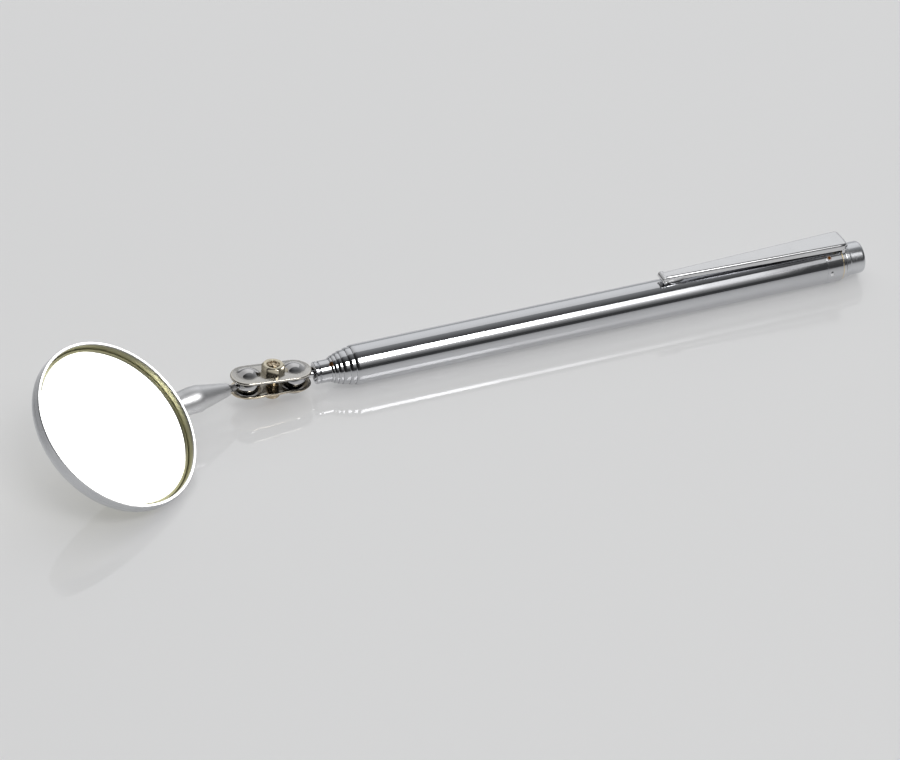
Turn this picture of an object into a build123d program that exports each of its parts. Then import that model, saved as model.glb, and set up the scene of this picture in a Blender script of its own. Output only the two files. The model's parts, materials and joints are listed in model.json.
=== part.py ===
from build123d import *
import os
from math import cos, sin, radians, sqrt

# Telescopic inspection mirror, lying on a flat surface.
# Millimetres, +Z up, +X along the handle towards the end knob.
# Origin: middle of the footprint, on the surface that the mirror lies on.

# ---------------------------------------------------------------- dimensions
MOUTH_X, AXIS_Y = -18.208, 11.315          # barrel mouth and handle axis in the part frame
BARREL_D, WALL = 7.0, 0.15                 # outer tube and wall of every tube
AXIS_Z = BARREL_D / 2                      # the barrel rests on the surface
BARREL_L = 87.1                            # mouth to seam
STEP_D = 0.52                              # each section is this much thinner
STAGE_D = [BARREL_D - STEP_D * (i + 1) for i in range(6)]       # 6.48 ... 3.88
BARREL_FRONT = -0.85                       # barrel's rolled lip, from where its wall starts to close in
STAGE_FRONT = [-1.87, -3.0, -3.75, -4.4, -4.85, -6.35]          # lips, from the same place
TRAVEL = 68.0                              # each section's stroke
SLEEVE_L = 8.0                             # friction sleeve on each section's rear end
LIP_L = 1.8                                # rolled-in length of a lip
RUN = 0.03                                 # radial clearance in a guiding lip
SLEEVE_GAP = 0.02                          # radial clearance of a sleeve in its bore

FERRULE_L = 3.15                           # collar behind the seam
RING_T = 0.15                              # brass seat ring
COLLAR_T = 0.55                            # clip sheet
KNOB_GAP, KNOB_L, KNOB_D = 0.15, 3.8, 5.8
FLANGE_L, FLANGE_D = 0.9, 6.2              # shoulder at the front of the knob

TIP_FACE = -7.5                            # front face of the tip ferrule
BALL_R = 2.1
BALL1_X = -11.138                          # rear ball centre, from the mouth
BALL_PITCH = 8.1                           # distance between the two balls
CLAMP_PITCH, CLAMP_ROLL = 5.6, -2.3        # how the clamp stands at rest, degrees
PLATE_W, PLATE_T = 6.0, 0.5
UPPER_IN, LOWER_IN = 1.45, 0.82            # inner face of either plate, from the balls' plane
SEAT_CLEAR = 0.02
DOME_R = BALL_R + SEAT_CLEAR + PLATE_T
SCREW_R, HEAD_R, HEAD_H = 1.1, 1.42, 1.75
SCREW_X = 0.32                             # screw, from midway between the balls
NUT_AF, NUT_H, NUT_TURN = 3.5, 1.35, -20.3

STEM_D, STEM_TIP_D = 4.6, 1.7
STEM_START, STEM_CONE_END = 2.6, 10.1      # from the front ball's centre

CUP_R, CUP_T, CUP_WALL, CUP_CORNER = 15.0, 3.0, 0.5, 1.5
CUP_C = (-44.495, -12.657, 11.471)         # rim plane centre: from mouth, axis, surface
CUP_TILT, CUP_TURN = 40.892, -41.220       # rim normal from vertical, and its heading
GLASS_R, GLASS_T, GLASS_DEEP = 14.35, 0.9, 1.2
PAD_R, PAD_T = 13.3, 0.4
LAP_T = 1.1                                # stem tongue under the cup floor
RIVET_R, RIVET_HEAD_R, RIVET_DOME = 0.6, 1.1, 0.55
STEM_JOIN = (-32.79, -4.54, 6.52)          # where the stem's axis meets the cup wall

CLIP_TOP, CLIP_SHEET = 8.55, 0.35          # above the surface
CLIP_TIP, CLIP_ROOT, CLIP_END = 56.0, 90.7, 91.5   # from the mouth


def at(x, y, z):
    """Point given from the barrel mouth (x), the handle axis (y) and the surface (z)."""
    return Vector(MOUTH_X + x, AXIS_Y + y, z)


# ---------------------------------------------------------------- frames
MOUTH = at(0, 0, AXIS_Z)
PROFILE = Plane(origin=MOUTH, x_dir=(1, 0, 0), z_dir=(0, -1, 0))    # x along, y radius
HANDLE = Axis(MOUTH, (1, 0, 0))


def across(x):
    """Plane square to the handle at x from the mouth, its x up, its normal along +X."""
    return Plane(origin=at(x, 0, AXIS_Z), x_dir=(0, 0, 1), z_dir=(1, 0, 0))


cp, sp = cos(radians(CLAMP_PITCH)), sin(radians(CLAMP_PITCH))
cr, sr = cos(radians(CLAMP_ROLL)), sin(radians(CLAMP_ROLL))
BALL1 = at(BALL1_X, 0, AXIS_Z)
BALL2 = BALL1 + Vector(-cp, 0, sp) * BALL_PITCH
CLAMP_X = Vector(cp, 0, -sp)
CLAMP_Z = Vector(sp * cr, -sr, cp * cr)
CLAMP_Y = CLAMP_Z.cross(CLAMP_X)
MID = (BALL1 + BALL2) * 0.5
CLAMP = Plane(origin=MID, x_dir=CLAMP_X, z_dir=CLAMP_Z)
CLAMP_DOWN = Plane(origin=MID, x_dir=CLAMP_X, z_dir=CLAMP_Z * -1)
SCREW_AT = MID + CLAMP_X * SCREW_X
SCREW = Plane(origin=SCREW_AT, x_dir=CLAMP_X, z_dir=CLAMP_Z)
SCREW_DOWN = Plane(origin=SCREW_AT, x_dir=CLAMP_X, z_dir=CLAMP_Z * -1)
CLAMP_PROFILE = Plane(origin=SCREW_AT, x_dir=CLAMP_X, z_dir=CLAMP_Y * -1)  # x out, y up the screw
SCREW_AXIS = Axis(SCREW_AT, CLAMP_Z)

JOIN = at(*STEM_JOIN)
STEM_DIR = (JOIN - BALL2).normalized()
STEM_LEN = (JOIN - BALL2).length
STEM_SIDE = Vector(0, 0, 1).cross(STEM_DIR).normalized()
STEM_PROFILE = Plane(origin=BALL2, x_dir=STEM_DIR, z_dir=STEM_SIDE)
STEM_AXIS = Axis(BALL2, STEM_DIR)

ct, st = cos(radians(CUP_TILT)), sin(radians(CUP_TILT))
CUP_N = Vector(st * cos(radians(CUP_TURN)), st * sin(radians(CUP_TURN)), ct)
CUP_O = at(*CUP_C)
LAP_DIR = (STEM_DIR - CUP_N * STEM_DIR.dot(CUP_N)).normalized()      # stem, flat on the cup
CUP = Plane(origin=CUP_O, x_dir=LAP_DIR, z_dir=CUP_N)
CUP_PROFILE = Plane(origin=CUP_O, x_dir=LAP_DIR, z_dir=LAP_DIR.cross(CUP_N))
CUP_AXIS = Axis(CUP_O, CUP_N)
RIVET_AT = JOIN + LAP_DIR * 2.7
RIVET_AT = RIVET_AT - CUP_N * ((RIVET_AT - CUP_O).dot(CUP_N) + CUP_T)  # under side of the cup
RIVET_PROFILE = Plane(origin=RIVET_AT, x_dir=LAP_DIR, z_dir=LAP_DIR.cross(CUP_N))
RIVET_AXIS = Axis(RIVET_AT, CUP_N)

os.makedirs("parts", exist_ok=True)

# ================================================================ mirror head
FLOOR_T = CUP_WALL
GLASS_TOP = -GLASS_DEEP
GLASS_BOT = GLASS_TOP - GLASS_T
CUP_FLOOR = -CUP_T + FLOOR_T

# Spun cup: flat floor, rounded heel, upright wall with a softened rim.
with BuildPart() as mirror_cup:
    with BuildSketch(CUP_PROFILE):
        with BuildLine():
            c = CUP_CORNER
            k = sqrt(0.5)
            ci = c - CUP_WALL
            Line((0, -CUP_T), (CUP_R - c, -CUP_T))
            ThreePointArc((CUP_R - c, -CUP_T), (CUP_R - c + c * k, -CUP_T + c - c * k), (CUP_R, -CUP_T + c))
            Line((CUP_R, -CUP_T + c), (CUP_R, -0.18))
            ThreePointArc((CUP_R, -0.18), (CUP_R - 0.18 * (1 - k), -0.18 * (1 - k)), (CUP_R - 0.18, 0))
            Line((CUP_R - 0.18, 0), (CUP_R - CUP_WALL + 0.14, 0))
            ThreePointArc((CUP_R - CUP_WALL + 0.14, 0), (CUP_R - CUP_WALL + 0.14 * (1 - k), -0.14 * (1 - k)),
                          (CUP_R - CUP_WALL, -0.14))
            Line((CUP_R - CUP_WALL, -0.14), (CUP_R - CUP_WALL, CUP_FLOOR + ci))
            ThreePointArc((CUP_R - CUP_WALL, CUP_FLOOR + ci),
                          (CUP_R - CUP_WALL - ci * (1 - k), CUP_FLOOR + ci * (1 - k)),
                          (CUP_R - CUP_WALL - ci, CUP_FLOOR))
            Line((CUP_R - CUP_WALL - ci, CUP_FLOOR), (0, CUP_FLOOR))
            Line((0, CUP_FLOOR), (0, -CUP_T))
        make_face()
    revolve(axis=CUP_AXIS)
    # rivet hole through the floor
    with BuildSketch(Plane(origin=RIVET_AT - CUP_N * 0.5, x_dir=LAP_DIR, z_dir=CUP_N)):
        Circle(RIVET_R)
    extrude(amount=1.5, mode=Mode.SUBTRACT)
mirror_cup.part.label = "mirror_cup"

# Round mirror with a ground bevel.
with BuildPart() as mirror_glass:
    with BuildSketch(CUP_PROFILE):
        with BuildLine():
            Polyline((0, GLASS_BOT), (GLASS_R - 0.12, GLASS_BOT), (GLASS_R, GLASS_BOT + 0.12),
                     (GLASS_R, GLASS_TOP - 0.25), (GLASS_R - 0.3, GLASS_TOP), (0, GLASS_TOP), close=True)
        make_face()
    revolve(axis=CUP_AXIS)
mirror_glass.part.label = "mirror_glass"

# Adhesive disc between glass and cup floor, cut out round the rivet head.
with BuildPart() as glass_pad:
    with BuildSketch(CUP.offset(CUP_FLOOR)):
        Circle(PAD_R)
    extrude(amount=PAD_T)
    with BuildSketch(Plane(origin=RIVET_AT, x_dir=LAP_DIR, z_dir=CUP_N)):
        Circle(RIVET_HEAD_R + 0.15)
    extrude(amount=CUP_T, mode=Mode.SUBTRACT)
glass_pad.part.label = "glass_pad"

# Turned stem: slim cone, short cylinder, then half lapped under the cup floor.
with BuildPart() as stem:
    with BuildSketch(STEM_PROFILE):
        with BuildLine():
            Polyline((STEM_START, 0), (STEM_START, STEM_TIP_D / 2 - 0.15), (STEM_START + 0.15, STEM_TIP_D / 2),
                     (STEM_CONE_END, STEM_D / 2 - 0.06), (STEM_CONE_END + 0.12, STEM_D / 2),
                     (STEM_LEN + 6.5, STEM_D / 2), (STEM_LEN + 6.5, 0), close=True)
        make_face()
    revolve(axis=STEM_AXIS)
    # seat for the cup's wall and floor
    with BuildSketch(CUP.offset(-CUP_T)):
        Circle(CUP_R + 0.01)
    extrude(amount=9, mode=Mode.SUBTRACT)
    # flat under side of the tongue
    with BuildSketch(Plane(origin=RIVET_AT - CUP_N * LAP_T, x_dir=LAP_DIR, z_dir=CUP_N)):
        Rectangle(16, 12)
    extrude(amount=-4, mode=Mode.SUBTRACT)
    # rounded end of the tongue
    with BuildSketch(Plane(origin=RIVET_AT + CUP_N * 0.5, x_dir=LAP_DIR, z_dir=CUP_N)):
        with Locations((4, 0)):
            Rectangle(8, 8)
        Circle(2.0, mode=Mode.SUBTRACT)
    extrude(amount=-3, mode=Mode.SUBTRACT)
    # rivet hole
    with BuildSketch(Plane(origin=RIVET_AT + CUP_N * 0.5, x_dir=LAP_DIR, z_dir=CUP_N)):
        Circle(RIVET_R)
    extrude(amount=-3, mode=Mode.SUBTRACT)
    # blind bore for the ball stud's shank
    with BuildSketch(Plane(origin=BALL2 + STEM_DIR * (STEM_START - 0.5), x_dir=STEM_SIDE, z_dir=STEM_DIR)):
        Circle(0.5)
    extrude(amount=5.0, mode=Mode.SUBTRACT)
stem.part.label = "stem"

# Rivet: flat head inside the cup, domed head under the tongue.
with BuildPart() as cup_rivet:
    with BuildSketch(RIVET_PROFILE):
        with BuildLine():
            y0, y1 = -LAP_T, FLOOR_T
            Line((0, y1 + 0.3), (RIVET_HEAD_R - 0.1, y1 + 0.3))
            Line((RIVET_HEAD_R - 0.1, y1 + 0.3), (RIVET_HEAD_R, y1 + 0.2))
            Line((RIVET_HEAD_R, y1 + 0.2), (RIVET_HEAD_R, y1))
            Line((RIVET_HEAD_R, y1), (RIVET_R, y1))
            Line((RIVET_R, y1), (RIVET_R, y0))
            Line((RIVET_R, y0), (RIVET_HEAD_R, y0))
            RadiusArc((RIVET_HEAD_R, y0), (0, y0 - RIVET_DOME), (RIVET_HEAD_R ** 2 + RIVET_DOME ** 2) / (2 * RIVET_DOME))
            Line((0, y0 - RIVET_DOME), (0, y1 + 0.3))
        make_face()
    revolve(axis=RIVET_AXIS)
cup_rivet.part.label = "cup_rivet"

# ================================================================ ball clamp
# Front ball on its neck; the shank is pressed into the stem.
with BuildPart() as front_ball_stud:
    with BuildSketch(STEM_PROFILE):
        with BuildLine():
            Line((-BALL_R, 0), (STEM_START + 4.2, 0))
            Line((STEM_START + 4.2, 0), (STEM_START + 4.2, 0.47))
            Line((STEM_START + 4.2, 0.47), (sqrt(BALL_R ** 2 - 0.47 ** 2), 0.47))
            ThreePointArc((sqrt(BALL_R ** 2 - 0.47 ** 2), 0.47), (0, BALL_R), (-BALL_R, 0))
        make_face()
    revolve(axis=STEM_AXIS)
front_ball_stud.part.label = "front_ball_stud"

# Two pressed plates, each with a dome over either ball.
def plate_hole_r():
    return SCREW_R + 0.05


with BuildPart() as clamp_plate_upper:
    with BuildSketch(CLAMP.offset(UPPER_IN)):
        SlotCenterToCenter(BALL_PITCH, PLATE_W)
    extrude(amount=PLATE_T)
    fillet(clamp_plate_upper.faces().sort_by(Axis(MID, CLAMP_Z))[-1].edges(), 0.18)
    with Locations(BALL1, BALL2):
        Sphere(DOME_R)
    with BuildSketch(CLAMP.offset(UPPER_IN)):
        Rectangle(30, 20)
    extrude(amount=-12, mode=Mode.SUBTRACT)
    with Locations(BALL1, BALL2):
        Sphere(BALL_R + SEAT_CLEAR, mode=Mode.SUBTRACT)
    with BuildSketch(SCREW.offset(UPPER_IN)):
        Circle(plate_hole_r())
    extrude(amount=2, mode=Mode.SUBTRACT)
    dome_foot = clamp_plate_upper.edges().filter_by(GeomType.CIRCLE).filter_by(
        lambda e: 1.3 < e.radius < 2.4 and (e.center() - MID).dot(CLAMP_Z) > UPPER_IN + PLATE_T - 0.05)
    fillet(dome_foot, 0.45)
clamp_plate_upper.part.label = "clamp_plate_upper"

with BuildPart() as clamp_plate_lower:
    with BuildSketch(CLAMP_DOWN.offset(LOWER_IN)):
        SlotCenterToCenter(BALL_PITCH, PLATE_W)
    extrude(amount=PLATE_T)
    fillet(clamp_plate_lower.faces().sort_by(Axis(MID, CLAMP_Z))[0].edges(), 0.18)
    with Locations(BALL1, BALL2):
        Sphere(DOME_R)
    with BuildSketch(CLAMP_DOWN.offset(LOWER_IN)):
        Rectangle(30, 20)
    extrude(amount=-12, mode=Mode.SUBTRACT)
    with Locations(BALL1, BALL2):
        Sphere(BALL_R + SEAT_CLEAR, mode=Mode.SUBTRACT)
    with BuildSketch(SCREW_DOWN.offset(LOWER_IN)):
        Circle(plate_hole_r())
    extrude(amount=2, mode=Mode.SUBTRACT)
    dome_foot = clamp_plate_lower.edges().filter_by(GeomType.CIRCLE).filter_by(
        lambda e: 1.3 < e.radius < 2.5 and (e.center() - MID).dot(CLAMP_Z) < -(LOWER_IN + PLATE_T - 0.05))
    fillet(dome_foot, 0.3)
clamp_plate_lower.part.label = "clamp_plate_lower"

# Screw: round slotted head below, shank through both plates, end peened over the nut.
UPPER_OUT, LOWER_OUT = UPPER_IN + PLATE_T, LOWER_IN + PLATE_T
NUT_TOP = UPPER_OUT + 0.02 + NUT_H
with BuildPart() as clamp_screw:
    with BuildSketch(CLAMP_PROFILE):
        with BuildLine():
            hb = -LOWER_OUT - HEAD_H
            Line((0, hb), (0.7, hb))
            ThreePointArc((0.7, hb), (HEAD_R * 0.86, hb + 0.28), (HEAD_R, -LOWER_OUT - 0.45))
            Line((HEAD_R, -LOWER_OUT - 0.45), (HEAD_R, -LOWER_OUT))
            Line((HEAD_R, -LOWER_OUT), (SCREW_R, -LOWER_OUT))
            Line((SCREW_R, -LOWER_OUT), (SCREW_R, NUT_TOP + 0.02))
            ThreePointArc((SCREW_R, NUT_TOP + 0.02), (SCREW_R * 0.8, NUT_TOP + 0.16), (SCREW_R * 0.55, NUT_TOP + 0.2))
            Line((SCREW_R * 0.55, NUT_TOP + 0.2), (SCREW_R * 0.4, NUT_TOP + 0.08))
            Line((SCREW_R * 0.4, NUT_TOP + 0.08), (0, NUT_TOP + 0.04))
            Line((0, NUT_TOP + 0.04), (0, hb))
        make_face()
    revolve(axis=SCREW_AXIS)
    with BuildSketch(SCREW_DOWN.offset(LOWER_OUT + HEAD_H + 0.1)):
        Rectangle(6, 0.5)
    extrude(amount=-0.6, mode=Mode.SUBTRACT)
clamp_screw.part.label = "clamp_screw"

# Hexagon nut with its corners turned off on both faces.
with BuildPart() as clamp_nut:
    with BuildSketch(SCREW.offset(UPPER_OUT + 0.02)):
        RegularPolygon(NUT_AF / 2, 6, major_radius=False, rotation=NUT_TURN)
        Circle(SCREW_R + 0.02, mode=Mode.SUBTRACT)
    extrude(amount=NUT_H)
    with BuildSketch(CLAMP_PROFILE):
        with BuildLine():
            b, t = UPPER_OUT + 0.02, NUT_TOP
            Polyline((0, b), (NUT_AF / 2 + 0.1, b), (NUT_AF / 2 + 0.24, b + 0.1), (NUT_AF / 2 + 0.24, t - 0.2),
                     (NUT_AF / 2 - 0.04, t), (0, t), close=True)
        make_face()
    revolve(axis=SCREW_AXIS, mode=Mode.INTERSECT)
clamp_nut.part.label = "clamp_nut"

# Rear ball on its neck; the shank turns in the tip ferrule and is headed over behind it.
NECK_R, SHANK_R = 0.6, 0.8
with BuildPart() as rear_ball_stud:
    with BuildSketch(PROFILE):
        with BuildLine():
            xn = BALL1_X + sqrt(BALL_R ** 2 - NECK_R ** 2)
            Line((BALL1_X - BALL_R, 0), (-1.95, 0))
            Line((-1.95, 0), (-1.95, 0.9))
            Line((-1.95, 0.9), (-2.05, 1.1))
            Line((-2.05, 1.1), (-2.33, 1.1))
            Line((-2.33, 1.1), (-2.33, SHANK_R))
            Line((-2.33, SHANK_R), (-6.85, SHANK_R))
            Line((-6.85, SHANK_R), (-6.85, NECK_R))
            Line((-6.85, NECK_R), (xn, NECK_R))
            ThreePointArc((xn, NECK_R), (BALL1_X, BALL_R), (BALL1_X - BALL_R, 0))
        make_face()
    revolve(axis=HANDLE)
rear_ball_stud.part.label = "rear_ball_stud"

# ================================================================ telescopic handle
# Tip ferrule: grooved nose with a dished face, plugged into the innermost section.
with BuildPart() as tip_ferrule:
    with BuildSketch(PROFILE):
        with BuildLine():
            r, ri = 1.95, STAGE_D[5] / 2 - WALL
            f = TIP_FACE
            Polyline((f, 1.45), (f, r - 0.2), (f + 0.2, r), (f + 0.55, r), (f + 0.65, r - 0.18), (f + 0.8, r - 0.18),
                     (f + 0.88, r), (-6.35, r), (-6.35, ri), (-2.35, ri), (-2.35, SHANK_R + 0.03),
                     (f + 0.88, SHANK_R + 0.03), (f + 0.8, NECK_R + 0.35), (f + 0.65, NECK_R + 0.45), close=True)
        make_face()
    revolve(axis=HANDLE)
tip_ferrule.part.label = "tip_ferrule"


def section_profile(i):
    """Outline of section i: rolled-in front lip, plain wall, square rear end."""
    ro = STAGE_D[i] / 2
    ri = ro - WALL
    front = STAGE_FRONT[i]
    rear = SLEEVE_L + TRAVEL + 0.05 + (STAGE_FRONT[i - 1] if i else BARREL_FRONT) + LIP_L
    return ro, ri, front, rear


# Five middle sections, largest first; each lip closes in on the next section.
ro, ri, front, rear = section_profile(0)
lip = STAGE_D[1] / 2 + RUN
with BuildPart() as inner_tube_1:
    with BuildSketch(PROFILE):
        with BuildLine():
            Line((front, lip), (front, lip + 0.03))
            Bezier((front, lip + 0.03), (front, ro), (front + 0.45, ro))
            Line((front + 0.45, ro), (rear, ro))
            Line((rear, ro), (rear, ri))
            Line((rear, ri), (front + LIP_L, ri))
            Line((front + LIP_L, ri), (front + LIP_L - 0.1, lip))
            Line((front + LIP_L - 0.1, lip), (front, lip))
        make_face()
    revolve(axis=HANDLE)
inner_tube_1.part.label = "inner_tube_1"

ro, ri, front, rear = section_profile(1)
lip = STAGE_D[2] / 2 + RUN
with BuildPart() as inner_tube_2:
    with BuildSketch(PROFILE):
        with BuildLine():
            Line((front, lip), (front, lip + 0.03))
            Bezier((front, lip + 0.03), (front, ro), (front + 0.45, ro))
            Line((front + 0.45, ro), (rear, ro))
            Line((rear, ro), (rear, ri))
            Line((rear, ri), (front + LIP_L, ri))
            Line((front + LIP_L, ri), (front + LIP_L - 0.1, lip))
            Line((front + LIP_L - 0.1, lip), (front, lip))
        make_face()
    revolve(axis=HANDLE)
inner_tube_2.part.label = "inner_tube_2"

ro, ri, front, rear = section_profile(2)
lip = STAGE_D[3] / 2 + RUN
with BuildPart() as inner_tube_3:
    with BuildSketch(PROFILE):
        with BuildLine():
            Line((front, lip), (front, lip + 0.03))
            Bezier((front, lip + 0.03), (front, ro), (front + 0.45, ro))
            Line((front + 0.45, ro), (rear, ro))
            Line((rear, ro), (rear, ri))
            Line((rear, ri), (front + LIP_L, ri))
            Line((front + LIP_L, ri), (front + LIP_L - 0.1, lip))
            Line((front + LIP_L - 0.1, lip), (front, lip))
        make_face()
    revolve(axis=HANDLE)
inner_tube_3.part.label = "inner_tube_3"

ro, ri, front, rear = section_profile(3)
lip = STAGE_D[4] / 2 + RUN
with BuildPart() as inner_tube_4:
    with BuildSketch(PROFILE):
        with BuildLine():
            Line((front, lip), (front, lip + 0.03))
            Bezier((front, lip + 0.03), (front, ro), (front + 0.4, ro))
            Line((front + 0.4, ro), (rear, ro))
            Line((rear, ro), (rear, ri))
            Line((rear, ri), (front + LIP_L, ri))
            Line((front + LIP_L, ri), (front + LIP_L - 0.1, lip))
            Line((front + LIP_L - 0.1, lip), (front, lip))
        make_face()
    revolve(axis=HANDLE)
inner_tube_4.part.label = "inner_tube_4"

ro, ri, front, rear = section_profile(4)
lip = STAGE_D[5] / 2 + RUN
with BuildPart() as inner_tube_5:
    with BuildSketch(PROFILE):
        with BuildLine():
            Line((front, lip), (front, lip + 0.03))
            Bezier((front, lip + 0.03), (front, ro), (front + 0.26, ro))
            Line((front + 0.26, ro), (rear, ro))
            Line((rear, ro), (rear, ri))
            Line((rear, ri), (front + LIP_L, ri))
            Line((front + LIP_L, ri), (front + LIP_L - 0.1, lip))
            Line((front + LIP_L - 0.1, lip), (front, lip))
        make_face()
    revolve(axis=HANDLE)
inner_tube_5.part.label = "inner_tube_5"

# Innermost section: a plain tube that carries the tip ferrule.
ro, ri, front, rear = section_profile(5)
with BuildPart() as inner_tube_6:
    with BuildSketch(across(front)):
        Circle(ro)
        Circle(ri, mode=Mode.SUBTRACT)
    extrude(amount=rear - front)
inner_tube_6.part.label = "inner_tube_6"

# Split friction sleeves, one on the rear end of each section.
for i in range(6):
    ro, ri, front, rear = section_profile(i)
    bore = (BARREL_D if i == 0 else STAGE_D[i - 1]) / 2 - WALL
    with BuildPart() as sleeve:
        with BuildSketch(across(rear - SLEEVE_L)):
            Circle(bore - SLEEVE_GAP)
            Circle(ro, mode=Mode.SUBTRACT)
            with Locations((ro, 0)):
                Rectangle(1.2, 0.9, mode=Mode.SUBTRACT)
        extrude(amount=SLEEVE_L)
    sleeve.part.label = "spring_sleeve_%d" % (i + 1)
    export_step(sleeve.part, "parts/spring_sleeve_%d.step" % (i + 1))

# Barrel: rounded mouth that closes in on the first section, open at the rear.
with BuildPart() as barrel:
    with BuildSketch(PROFILE):
        with BuildLine():
            R, r = BARREL_D / 2, BARREL_D / 2 - WALL
            lip = STAGE_D[0] / 2 + RUN
            f = BARREL_FRONT
            Line((f, lip), (f, lip + 0.04))
            Bezier((f, lip + 0.04), (f, R), (f + 0.95, R))
            Line((f + 0.95, R), (BARREL_L - 0.06, R))
            Line((BARREL_L - 0.06, R), (BARREL_L, R - 0.06))
            Line((BARREL_L, R - 0.06), (BARREL_L, r))
            Line((BARREL_L, r), (f + LIP_L, r))
            Line((f + LIP_L, r), (f + LIP_L - 0.1, lip))
            Line((f + LIP_L - 0.1, lip), (f, lip))
        make_face()
    revolve(axis=HANDLE)
barrel.part.label = "barrel"

# Rear ferrule: spigot pressed into the barrel, collar flush with it, threaded bore.
FER_END = BARREL_L + FERRULE_L
with BuildPart() as rear_ferrule:
    with BuildSketch(PROFILE):
        with BuildLine():
            R, s = BARREL_D / 2, BARREL_D / 2 - WALL
            Polyline((82.0, 2.0), (82.0, s - 0.25), (82.25, s), (BARREL_L, s), (BARREL_L, R - 0.06),
                     (BARREL_L + 0.06, R), (FER_END - 0.08, R), (FER_END, R - 0.08), (FER_END, 2.0), close=True)
        make_face()
    revolve(axis=HANDLE)
    # crimp marks in the collar, one punched deep beside the seam
    a = radians(61.6)
    with Locations(at(BARREL_L + 0.75, -3.62 * cos(a), AXIS_Z + 3.62 * sin(a))):
        Sphere(0.5, mode=Mode.SUBTRACT)
    a = radians(11.5)
    with Locations(at(BARREL_L + 1.35, -3.7 * cos(a), AXIS_Z + 3.7 * sin(a))):
        Sphere(0.4, mode=Mode.SUBTRACT)
rear_ferrule.part.label = "rear_ferrule"

# Brass seat ring behind the ferrule.
with BuildPart() as seat_ring:
    with BuildSketch(across(FER_END)):
        Circle(BARREL_D / 2 - 0.12)
        Circle(2.1, mode=Mode.SUBTRACT)
    extrude(amount=RING_T)
seat_ring.part.label = "seat_ring"

# Clip collar: flat ring on the knob's screw, with the stub that turns up into the clip.
COL_X = FER_END + RING_T
COL_END = COL_X + COLLAR_T
with BuildPart() as clip_collar:
    with BuildSketch(across(COL_X)):
        Circle(3.3)
        with Locations((3.3, 0)):
            Rectangle(1.3, 3.6)
        Circle(2.1, mode=Mode.SUBTRACT)
    extrude(amount=COLLAR_T)
clip_collar.part.label = "clip_collar"

# End knob: plain cap on a threaded plug.
KNOB_X = COL_END + KNOB_GAP
with BuildPart() as end_knob:
    with BuildSketch(PROFILE):
        with BuildLine():
            R = KNOB_D / 2
            e = KNOB_X + KNOB_L
            Polyline((84.0, 0), (84.0, 1.7), (84.25, 1.95), (COL_END, 1.95), (COL_END, 2.45), (KNOB_X, 2.45),
                     (KNOB_X, FLANGE_D / 2 - 0.1), (KNOB_X + 0.1, FLANGE_D / 2), (KNOB_X + FLANGE_L - 0.1, FLANGE_D / 2),
                     (KNOB_X + FLANGE_L, R), (e - 0.35, R), (e - 0.12, R - 0.12), (e, R - 0.4),
                     (e, 0), close=True)
        make_face()
    revolve(axis=HANDLE)
end_knob.part.label = "end_knob"

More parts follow.
